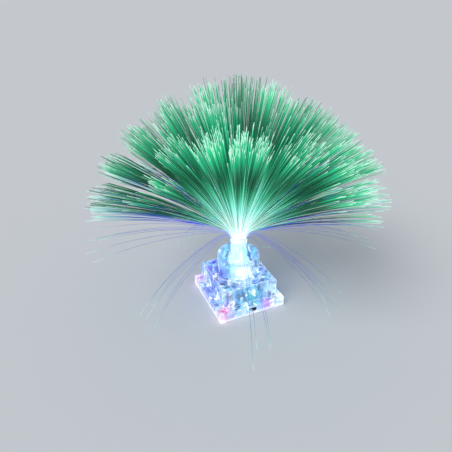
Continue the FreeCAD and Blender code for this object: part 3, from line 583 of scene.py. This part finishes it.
def pour(target, path, row, tip_radius=TIP_R):
    """Bends the strand along a path and adds it to the bmesh, with its row of the UV map."""
    out, points = path
    side = out.cross(Vector((0, 0, 1)))
    total = points[-1][2]
    places = []
    for x, y, ring in CORNERS:
        centre, angle, run = points[ring]
        normal = out * math.cos(angle) - Vector((0, 0, math.sin(angle)))
        radius = FOOT_R + (tip_radius - FOOT_R) * max(0.0, run + FOOT_Z - NECK_Z) / FREE_LENGTH
        places.extend((centre + (side * y + normal * x) * radius) * MM)
    strand.vertices.foreach_set("co", places)
    spots = []
    for x, y, ring in LOOPS:
        across = row + 0.5 + OFF_ROW_X * x + OFF_ROW_Y * y
        spots += [points[ring][2] / total, across / ROWS]
    strand.uv_layers[0].data.foreach_set("uv", spots)
    target.from_mesh(strand)


print("strands share", ROWS, "rows of one UV map")

# %% [markdown]
# ## The dome of fibres
# Seen from above, the bundle is a hexagonal packing, the closest in which round fibres can lie.
# Six-sided rings of fibres follow one another from the middle out.

# %% The bundle seen from above
PITCH = 0.147
RINGS = 30


def packing():
    """Places of a hexagonal bundle, in mm, from the middle out."""
    yield 0.0, 0.0
    for ring in range(1, RINGS + 1):
        for side in range(6):
            a, b = math.radians(60 * side), math.radians(60 * side + 120)
            for step in range(ring):
                yield (PITCH * (ring * math.cos(a) + step * math.cos(b)),
                       PITCH * (ring * math.sin(a) + step * math.sin(b)))


print("the bundle has", sum(1 for _ in packing()), "places")

# %% [markdown]
# Above the neck, fibres cling together in locks with gaps between them. A lock has its own length
# and its own glow, because its fibres stand over the same spot of the lights. Its place is a
# direction, and the lock nearest to a fibre is the one with the largest dot product.

# %% Locks of fibres
# For each lock: its compass angle and lean in degrees, its length as a share of FREE_LENGTH,
# and how vividly it glows
LOCKS = [(98, 27, 1.01, 0.8), (-170, 18, 0.99, 0.55), (174, 28, 0.99, 0.5),
         (171, 38, 0.99, 0.42), (168, 52, 0.99, 0.3), (-178, 60, 0.98, 0.1),
         (-160, 32, 0.98, 0.6), (-136, 29, 0.98, 1.0), (-117, 31, 0.98, 0.95),
         (-104, 32, 0.96, 0.7), (-87, 35, 0.98, 0.6), (-70, 34, 0.98, 0.7),
         (40, 26, 1.01, 0.9), (51, 54, 0.99, 0.1), (30, 40, 1.00, 0.5),
         (-36, 24, 0.99, 0.4), (-38, 40, 0.99, 0.7), (-57, 46, 0.99, 0.8),
         (-56, 57, 0.97, 0.95), (-71, 54, 0.96, 0.9), (-60, 68, 0.97, 0.95),
         (-152, 48, 0.95, 0.5), (-162, 60, 0.95, 0.4), (171, 72, 0.99, 0.1),
         (70, 12, 1.02, 0.2), (8, 48, 1.00, 0.6), (4, 70, 0.99, 0.7),
         (22, 76, 1.00, 0.3), (38, 82, 1.01, 0.3), (60, 83, 0.99, 0.15),
         (81, 77, 0.99, 0.2), (102, 70, 1.00, 0.2), (126, 58, 0.99, 0.3),
         (108, 46, 0.99, 0.5), (141, 68, 1.01, 0.3), (136, 82, 1.00, 0.3),
         (150, 42, 0.99, 0.45), (154, 81, 1.00, 0.1), (115, 84, 1.01, 0.2),
         (24, 60, 1.00, 0.4), (-20, 60, 0.99, 0.8), (-14, 81, 0.99, 0.8),
         (-34, 76, 0.97, 0.9), (128, 34, 1.00, 0.5)]


def aimed(azimuth, lean):
    """The unit direction with this compass angle and lean."""
    return Vector((math.sin(lean) * math.cos(azimuth), math.sin(lean) * math.sin(azimuth),
                   math.cos(lean)))


LOCK_AIMS = [aimed(math.radians(lock[0]), math.radians(lock[1])) for lock in LOCKS]
print(len(LOCKS), "locks")

# %% [markdown]
# The further out a fibre stands in the bundle, the more it leans. Any share of the bundle's disc
# covers the same share of the dome, so the dome is equally thick all over. It is open on one
# side, where the fibres lean less. Each fibre then turns part of the way towards its nearest
# lock, some more and some less. Most of those that lean out furthest carry the blue light.

# %% Where each fibre goes
BUNDLE_R = 4.6
NECK_BEND = 12.0
# A fibre at this distance from the middle leans out all the way
DRAWN_SPAN = 4.4
SIDE_FAN = math.radians(84)
FRONT_FAN = math.radians(30)
OPEN_SIDE = math.radians(-114)
DROOP = math.radians(14)
ONE_DEGREE = math.radians(1)
LOCK_PULL = 0.5
PULL_SPREAD = (0.5, 1.4)
AIM_SCATTER = 0.022
LENGTH_SPREAD = (0.94, 1.03)
GLOW_SCATTER = 0.27
# An upright fibre has the brightest neck, and it dims by the lean in radians
UPRIGHT_NECK = 1.3
NECK_SCATTER = 0.45
BLUE_LEAN = math.radians(66)
BLUE_SHARE = 0.7
# The largest share that still counts as the last kind, and not as one more
TOP_SHARE = 0.999


def dome_fibre(x, y, dice):
    """The path of one fibre of the dome, and its row of the UV map."""
    spread = math.hypot(x, y)
    azimuth = math.atan2(y, x)
    opening = max(0.0, math.cos(azimuth - OPEN_SIDE)) ** 2
    limit = SIDE_FAN - (SIDE_FAN - FRONT_FAN) * opening
    aim = aimed(azimuth, math.acos(1 - (spread / DRAWN_SPAN) ** 2 * (1 - math.cos(limit))))
    nearest = max(range(len(LOCKS)), key=lambda k: LOCK_AIMS[k].dot(aim))
    aim += (LOCK_AIMS[nearest] - aim) * LOCK_PULL * dice.uniform(*PULL_SPREAD)
    aim += Vector([dice.gauss(0, AIM_SCATTER) for _ in range(3)])
    azimuth = math.atan2(aim.y, aim.x)
    lean = min(math.acos(aim.z / aim.length), SIDE_FAN + ONE_DEGREE)
    droop = DROOP * math.sin(lean) + ONE_DEGREE
    launch = max(ONE_DEGREE, lean - droop / 2)
    _, _, reach, glow = LOCKS[nearest]
    length = FREE_LENGTH * reach * dice.uniform(*LENGTH_SPREAD)
    vivid = min(max(glow + dice.gauss(0, GLOW_SCATTER), 0), TOP_SHARE)
    bright_neck = min(max(UPRIGHT_NECK - lean + dice.gauss(0, NECK_SCATTER), 0), TOP_SHARE)
    row = int(bright_neck * NECK_KINDS) * TIP_KINDS + int(vivid * TIP_KINDS)
    if lean > BLUE_LEAN and dice.random() < BLUE_SHARE:
        row = ROWS - 1 - dice.randrange(BLUE_ROWS)
    # A fibre nearer the rim turns more tightly round the ferrule's mouth
    bend = BUNDLE_R + NECK_BEND - spread
    return path_of(x, y, azimuth, bend, launch, launch + droop, length), row


print("fibres lean out by up to", round(math.degrees(SIDE_FAN)), "degrees")

# %% [markdown]
# The fibres are poured in the groups that the drawing has: a core, and five tiers round it. The
# dice are seeded, so the dome is the same each time. Each group rides on the spray, so that it
# turns and lifts with it, and takes the place of the drawn rods.

# %% Pour the dome
DRAWN_PITCH = 0.44
# Each tier ends at this distance from the middle, counted in fibres of the drawing
TIER_EDGES = [2.5, 4.5, 6.5, 8.5, 9.5, math.inf]
TIER_NODES = ["fibre_core"] + [f"fibre_tier_{k}" for k in range(1, 6)]


def piece_of(shape, name, body, material):
    """Turns a bmesh into a shaded object that rides on a CAD body."""
    mesh = bpy.data.meshes.new(name)
    shape.to_mesh(mesh)
    shape.free()
    mesh.materials.append(material)
    made = bpy.data.objects.new(name, mesh)
    bpy.context.collection.objects.link(made)
    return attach(made, body)


dice = random.Random(7)
tiers = [bmesh.new() for _ in TIER_NODES]
for x, y in packing():
    ring = math.hypot(x, y) / DRAWN_PITCH
    tier = next(k for k, edge in enumerate(TIER_EDGES) if ring < edge)
    path, row = dome_fibre(x, y, dice)
    pour(tiers[tier], path, row)
for node_name, shape in zip(TIER_NODES, tiers):
    count = len(shape.verts) // len(CORNERS)
    spray = piece_of(shape, node_name.replace("fibre", "fine_fibres"), "fibre_spray", fibre)
    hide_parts(node_name)
    print(spray.name, count, "strands")

# %% [markdown]
# ## Loose fibres
# A few of the outermost fibres have sprung out of the dome and hang to the sides and the
# front. They come in small bunches. The drawing has one rod for each, and here each rod
# becomes two fine strands that part from each other towards the tip. One more, a short one,
# has curled up: it leaves the neck steeply downwards and turns up again. It is so short that
# its tip is given a larger radius, to be as thick as the rest where it shows.

# %% Loose fibres
STRAY_BEND = 7.0
STRAY_RING = 4.35
STRANDS_EACH = 2
FAN_STEP = 6
COMPASS_WOBBLE = 2.5
LAUNCH_WOBBLE = (-4, 2)
TIP_WOBBLE = (-7, 5)
LOOSE_SPREAD = (0.86, 1.0)
LOOSE_TIP_R = 0.11
CURL_TIP_R = 0.35
# For each bunch: its compass angle, its slants at launch and tip in degrees, how many rods the
# drawing has, and its length in mm
BUNCHES = [(187, 112, 146, 3, 84), (258, 108, 150, 2, 88), (316, 114, 147, 3, 82),
           (157, 84, 112, 3, 98), (343, 86, 118, 3, 98), (52, 95, 130, 3, 96),
           (98, 110, 145, 3, 85)]

loose = bmesh.new()
for compass, launch, tip, rods, length in BUNCHES:
    strands = rods * STRANDS_EACH
    for k in range(strands):
        azimuth = math.radians(compass + FAN_STEP * rods * ((k + 0.5) / strands - 0.5)
                               + dice.uniform(-COMPASS_WOBBLE, COMPASS_WOBBLE))
        tip_slant = math.radians(tip + dice.uniform(*TIP_WOBBLE))
        launch_slant = math.radians(launch + dice.uniform(*LAUNCH_WOBBLE))
        path = path_of(STRAY_RING * math.cos(azimuth), STRAY_RING * math.sin(azimuth), azimuth,
                       STRAY_BEND, launch_slant, tip_slant, length * dice.uniform(*LOOSE_SPREAD))
        pour(loose, path, ROWS - 1 - dice.randrange(BLUE_ROWS), LOOSE_TIP_R)
curl = path_of(x=2.9, y=-3.2, azimuth=math.radians(-48), bend=4.0,
               launch=math.radians(150), tip=math.radians(50), length=21)
pour(loose, curl, ROWS - 1, CURL_TIP_R)
strays = piece_of(loose, "loose_fibres", "fibre_spray", fibre)
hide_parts("stray_fibres")
print("loose strands:", len(strays.data.vertices) // len(CORNERS))

# %% [markdown]
# ## Plastics of the inside
# The battery cradle is white ABS with the fine grain of a spark-eroded mould, and the lights
# above it wash it in teal. The slide knob is black nylon, moulded a little dull. The leads'
# insulation is soft PVC, pulled over the wire with a low gloss. One helper makes such a plastic:
# its colour drifts a little, as moulded colour does, and a fine bump gives the grain. Real grain
# is about 0.1 mm, and it is drawn three to five times as coarse, or it wouldn't show. The blob of
# black epoxy over the driver chip is made the same way, glossier and with slow waves.

# %% Plastics of the inside
DRIFT_SHARE = 0.8


def dimmed(code, share):
    """The linear colour of a hex code, darkened to a share of its light."""
    return [share * level for level in linear(code)[:3]] + [1.0]


def moulded(name, code, grain_mm, depth_mm, wash=None, **numbers):
    """A plastic with slight colour drift and a grain, and a wash of light if one is given."""
    material, skin = start(name, **numbers)
    place = put(material, "TexCoord").outputs["Object"]
    drift = put(material, "TexNoise", {"Vector": place, "Scale": per(6), "Detail": 2.0})
    colour = layered(material, dimmed(code, DRIFT_SHARE),
                     [(drift.outputs["Fac"], linear(code), "MIX")])
    link(material, colour, skin.inputs["Base Color"])
    grain = put(material, "TexNoise", {"Vector": place, "Scale": per(grain_mm), "Detail": 2.0})
    bump = put(material, "Bump", {"Height": grain.outputs["Fac"], "Distance": depth_mm * MM})
    link(material, bump.outputs[0], skin.inputs["Normal"])
    if wash:
        colour, pools = wash
        lit = pooled(material, place, linear(colour), pools)
        link(material, lit, skin.inputs["Emission Color"])
    return material


TEAL_WASH = ("#2a8fa8", [((0, -8, 12), 9, "#35c4c4"), ((-12, 0, 6), 8, "#5a6ae0")])
abs_white = moulded("white ABS, fine grain", "#e8f0ee", 0.4, 0.03, TEAL_WASH, IOR=1.54,
                    Roughness=0.5, Emission_Strength=0.45)
nylon = moulded("black nylon, moulded", "#1b1c1f", 0.3, 0.02, IOR=1.53, Roughness=0.45)
red_pvc, black_pvc, yellow_pvc = [
    moulded(f"{tone} PVC insulation", code, 0.5, 0.01, IOR=1.53, Roughness=0.35)
    for tone, code in [("red", "#b81d22"), ("black", "#18191b"), ("yellow", "#dcab1e")]]
resin = moulded("black epoxy blob", "#101114", 1.6, 0.15, IOR=1.55, Roughness=0.22)
print("six plastics")

# %% [markdown]
# ## Metals
# The cells are stainless steel, the battery contacts are nickel on spring steel, the LED legs,
# the switch's can and its pins are tinned, and the screws have bright zinc. Drawn steel has a
# streaky shine, nickel looks a little warm, zinc a little blue, and tin is the dullest. The
# roughness varies with a noise, stretched where the metal was rolled or drawn. Real marks are
# some hundredths of a millimetre wide, and these are drawn ten times as coarse, so that they show.

# %% Metals
MARKS_SHARE = 0.85
# A noise texture seldom leaves this range
NOISE_RANGE = (0.3, 0.7)


def metal(name, code, smooth, rough, marks_mm, stretch):
    """A metal whose roughness varies in fine marks, stretched along one axis."""
    material, skin = start(name, Metallic=1.0)
    place = put(material, "TexCoord").outputs["Object"]
    drawn = put(material, "Mapping", {"Vector": place, "Scale": stretch})
    marks = put(material, "TexNoise", {"Vector": drawn.outputs[0], "Scale": per(marks_mm),
                                       "Detail": 3.0})
    polish = put(material, "MapRange", {0: marks.outputs["Fac"], 1: NOISE_RANGE[0],
                                        2: NOISE_RANGE[1], 3: smooth, 4: rough})
    link(material, polish.outputs[0], skin.inputs["Roughness"])
    colour = layered(material, dimmed(code, MARKS_SHARE),
                     [(marks.outputs["Fac"], linear(code), "MIX")])
    link(material, colour, skin.inputs["Base Color"])
    return material


steel = metal("stainless steel, drawn", "#c6c9cc", 0.2, 0.4, 0.4, (0.2, 1.0, 1.0))
nickel = metal("nickel on spring steel", "#cdc6b8", 0.18, 0.35, 0.3, (1.0, 1.0, 0.15))
tin = metal("tinned steel", "#d3d4d4", 0.28, 0.5, 0.5, (1.0, 1.0, 1.0))
zinc = metal("bright zinc plate", "#c5cbd4", 0.25, 0.45, 0.35, (1.0, 1.0, 1.0))
print("four metals")

# %% [markdown]
# ## The circuit board and its parts
# The board is glass-epoxy laminate under green solder mask, a satin lacquer. Its copper tracks
# show through as paler green lines, which are the mortar of a Brick texture. The resistors are
# black on top, with tinned ends, and the ends are found by place along X.

# %% The circuit board
laminate, laminate_skin = start("green solder mask on laminate", IOR=1.5, Roughness=0.35)
place = put(laminate, "TexCoord").outputs["Object"]
tracks = put(laminate, "TexBrick", {"Vector": place, "Color1": linear("#17623a"),
                                    "Color2": linear("#1b6c40"), "Mortar": linear("#43a468"),
                                    "Scale": per(1), "Mortar Size": 0.12, "Brick Width": 3.1,
                                    "Row Height": 1.3})
link(laminate, tracks.outputs["Color"], laminate_skin.inputs["Base Color"])
tracks_bump = put(laminate, "Bump", {"Height": tracks.outputs["Fac"], "Distance": 0.03 * MM})
link(laminate, tracks_bump.outputs[0], laminate_skin.inputs["Normal"])

RESISTOR_MIDDLE = -11.0
RESISTOR_BODY = 0.68
ceramic, ceramic_skin = start("thick-film resistor", Roughness=0.4)
place = put(ceramic, "TexCoord").outputs["Object"]
axes = put(ceramic, "SeparateXYZ", {0: place})
off = put(ceramic, "Math", {0: axes.outputs["X"], 1: RESISTOR_MIDDLE * MM},
          operation="SUBTRACT")
off = put(ceramic, "Math", {0: off.outputs[0]}, operation="ABSOLUTE")
end = put(ceramic, "Math", {0: off.outputs[0], 1: RESISTOR_BODY * MM},
          operation="GREATER_THAN")
grain = put(ceramic, "TexNoise", {"Vector": place, "Scale": per(0.3), "Detail": 2.0})
body = put(ceramic, "ValToRGB", {0: grain.outputs["Fac"]},
           stops=[(0.4, "#141417"), (0.6, "#26272b")])
capped = layered(ceramic, body.outputs[0], [(end.outputs[0], linear("#cfd0d0"), "MIX")])
link(ceramic, capped, ceramic_skin.inputs["Base Color"])
link(ceramic, end.outputs[0], ceramic_skin.inputs["Metallic"])
print(laminate.name, "/", ceramic.name)

# %% [markdown]
# The LEDs are coloured epoxy with a polished skin, and they stand on a ring. The light comes from
# the die, a speck low in each, so a ball of hot colour there fades into the deep colour round it.

# %% The LEDs
LED_RING = 2.15
LED_DIE_Z = 18.0
DIE_GLOW = 2.6
# Each LED: its name, its compass angle, and its colour away from the die and close to it
LEDS = [("red", 90, "#c81420", "#ff8a7a"), ("green", 210, "#0fa050", "#a8ffc8"),
        ("blue", 330, "#1a34d8", "#9cc0ff")]


def led_place(compass, height):
    """A point above one LED's place on its ring, in mm."""
    turn = math.radians(compass)
    return Vector((LED_RING * math.cos(turn), LED_RING * math.sin(turn), height))


lenses = {}
for name, compass, deep, hot in LEDS:
    lens, lens_skin = start(name + " LED epoxy", IOR=1.54, Roughness=0.08,
                            Transmission_Weight=0.5, Emission_Strength=1.0)
    place = put(lens, "TexCoord").outputs["Object"]
    die = led_place(compass, LED_DIE_Z)
    shine(lens, lens_skin, pooled(lens, place, linear(deep), [(die, DIE_GLOW, hot)]))
    lenses["led_" + name] = lens
print(len(lenses), "LED lenses")

# %% [markdown]
# ## Small parts of the lights and the cells
# Inside each LED two tinned posts stand in the epoxy. The first carries a small cup that holds
# the die and throws its light upwards, and the second ends in a narrow blade beside it. Each
# leg is soldered to the board with a little cone, a bit shinier than the tin. A ring of nylon
# seals each cell between its can and its cap. The round parts are turned from a profile, as on
# a lathe.

# %% Helpers for small parts
MERGE_DISTANCE = 0.001
BROKEN_EDGE = 0.05


def turned(profile, steps=20):
    """Turns a closed profile of (radius, height) points in mm round the Z axis."""
    part = bmesh.new()
    corners = [part.verts.new((radius, 0, height)) for radius, height in profile]
    rim = [part.edges.new(pair) for pair in zip(corners, corners[1:] + corners[:1])]
    bmesh.ops.spin(part, geom=corners + rim, axis=(0, 0, 1), cent=(0, 0, 0), steps=steps,
                   angle=math.tau, use_merge=True)
    bmesh.ops.remove_doubles(part, verts=part.verts, dist=MERGE_DISTANCE)
    bmesh.ops.dissolve_degenerate(part, edges=part.edges, dist=MERGE_DISTANCE)
    return part


def blade(width, depth, height, taper):
    """A flat post in mm with broken edges, its top narrowed by a share."""
    part = bmesh.new()
    bmesh.ops.create_cube(part, size=1)
    bmesh.ops.translate(part, vec=(0, 0, 0.5), verts=part.verts)
    bmesh.ops.scale(part, vec=(width, depth, height), verts=part.verts)
    top = [corner for corner in part.verts if corner.co.z > height / 2]
    bmesh.ops.scale(part, vec=(taper, 1, 1), verts=top)
    bmesh.ops.bevel(part, geom=part.edges[:], offset=BROKEN_EDGE, offset_type="OFFSET",
                    segments=2, profile=0.5, affect="EDGES", material=-1)
    return part


def settle(target, part, place, turn):
    """Turns a small part, moves it to its place in mm, and adds it to a larger bmesh."""
    bmesh.ops.recalc_face_normals(part, faces=part.faces)
    bmesh.ops.transform(part, matrix=Matrix.Translation(place) @ turn, verts=part.verts)
    bmesh.ops.scale(part, vec=(MM, MM, MM), verts=part.verts)
    mesh = bpy.data.meshes.new("small part")
    part.to_mesh(mesh)
    part.free()
    target.from_mesh(mesh)
    bpy.data.meshes.remove(mesh)


print("helpers for small parts ready")

# %% [markdown]
# Each small part is made at the origin, and then turned and moved to its place: the posts and
# cones to the line of an LED's two legs, and a seal to the cap's side of each cell. The cells lie
# on their sides, so the seals are turned by a quarter.

# %% LED posts, solder and cell seals
BOARD_TOP = 15.65
LED_FOOT = 16.1
LEG_SPAN = 2.54
CELL_CAP_T = 0.7
# Each post: its width, depth, height and taper, and its place along the legs
CUP_POST = ((1.1, 0.4, 1.3, 0.6), -0.5)
BLADE_POST = ((0.4, 0.4, 1.7, 0.6), 0.75)
CUP_AT = (-0.3, 1.25)
CUP = [(0, 0), (0.24, 0), (0.5, 0.12), (0.55, 0.55), (0.44, 0.55), (0.24, 0.2), (0, 0.2)]
SOLDER_CONE = [(0.33, 0), (0.68, 0), (0.46, 0.08), (0.36, 0.3), (0.33, 0.3)]
SEAL = [(4.72, 0), (5.32, 0), (5.2, 0.16), (4.72, 0.32)]

posts, cones, seals = bmesh.new(), bmesh.new(), bmesh.new()
for _, compass, _, _ in LEDS:
    turn = Matrix.Rotation(math.radians(compass + 90), 4, "Z")
    middle = led_place(compass, LED_FOOT)
    for part, along, rise in [(blade(*CUP_POST[0]), CUP_POST[1], 0), (turned(CUP), *CUP_AT),
                              (blade(*BLADE_POST[0]), BLADE_POST[1], 0)]:
        settle(posts, part, middle + turn @ Vector((along, 0, rise)), turn)
    for along in (-LEG_SPAN / 2, LEG_SPAN / 2):
        place = middle + turn @ Vector((along, 0, BOARD_TOP - LED_FOOT))
        settle(cones, turned(SOLDER_CONE, steps=12), place, turn)
for cell in ("button_cell_1", "button_cell_2", "button_cell_3"):
    low, high = (Vector(corner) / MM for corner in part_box(cell))
    place = Vector((low.x + CELL_CAP_T, (low.y + high.y) / 2, (low.z + high.z) / 2))
    settle(seals, turned(SEAL, steps=48), place, Matrix.Rotation(math.radians(-90), 4, "Y"))

solder = metal("lead-free solder", "#c2c5c6", 0.22, 0.42, 0.5, (1.0, 1.0, 1.0))
for name, shape, material, slot in [("led_posts", posts, tin, "tinned_steel"),
                                    ("leg_solder", cones, solder, "tinned_steel"),
                                    ("cell_seals", seals, nylon, "black_nylon")]:
    piece = piece_of(shape, name, "base", material)
    piece.data.shade_smooth()
    print(name, len(piece.data.polygons), "faces")

# %% [markdown]
# ## Finishes of the hard pieces
# Every piece that keeps its shape from the drawing now gets its material, in place of the plain
# one that it came with. The four clear mouldings share one, because they are of the same plastic
# and the same light runs through them. The meshes themselves stay as they are.

# %% Finishes of the CAD nodes
FINISHES = {crystal: ["bottom_cover", "crystal_housing", "light_drum", "battery_door"],
            column: ["socket_tube"], acetal: ["swivel_collar"], sleeve: ["ferrule"],
            abs_white: ["battery_cradle"], nickel: ["plate_contact", "spring_contact"],
            steel: ["button_cell_1", "button_cell_2", "button_cell_3"],
            laminate: ["circuit_board"], ceramic: ["resistors"], resin: ["driver_chip"],
            tin: ["led_legs", "switch_body", "switch_pins"], nylon: ["switch_knob"],
            zinc: ["housing_screws", "board_screws"], red_pvc: ["lead_positive"],
            black_pvc: ["lead_negative"], yellow_pvc: ["lead_switch"]}
for material, names in FINISHES.items():
    for name in names:
        NODES[name].data.materials[0] = material
for name, lens in lenses.items():
    NODES[name].data.materials[0] = lens
print(sum(len(names) for names in FINISHES.values()) + len(lenses), "nodes finished")
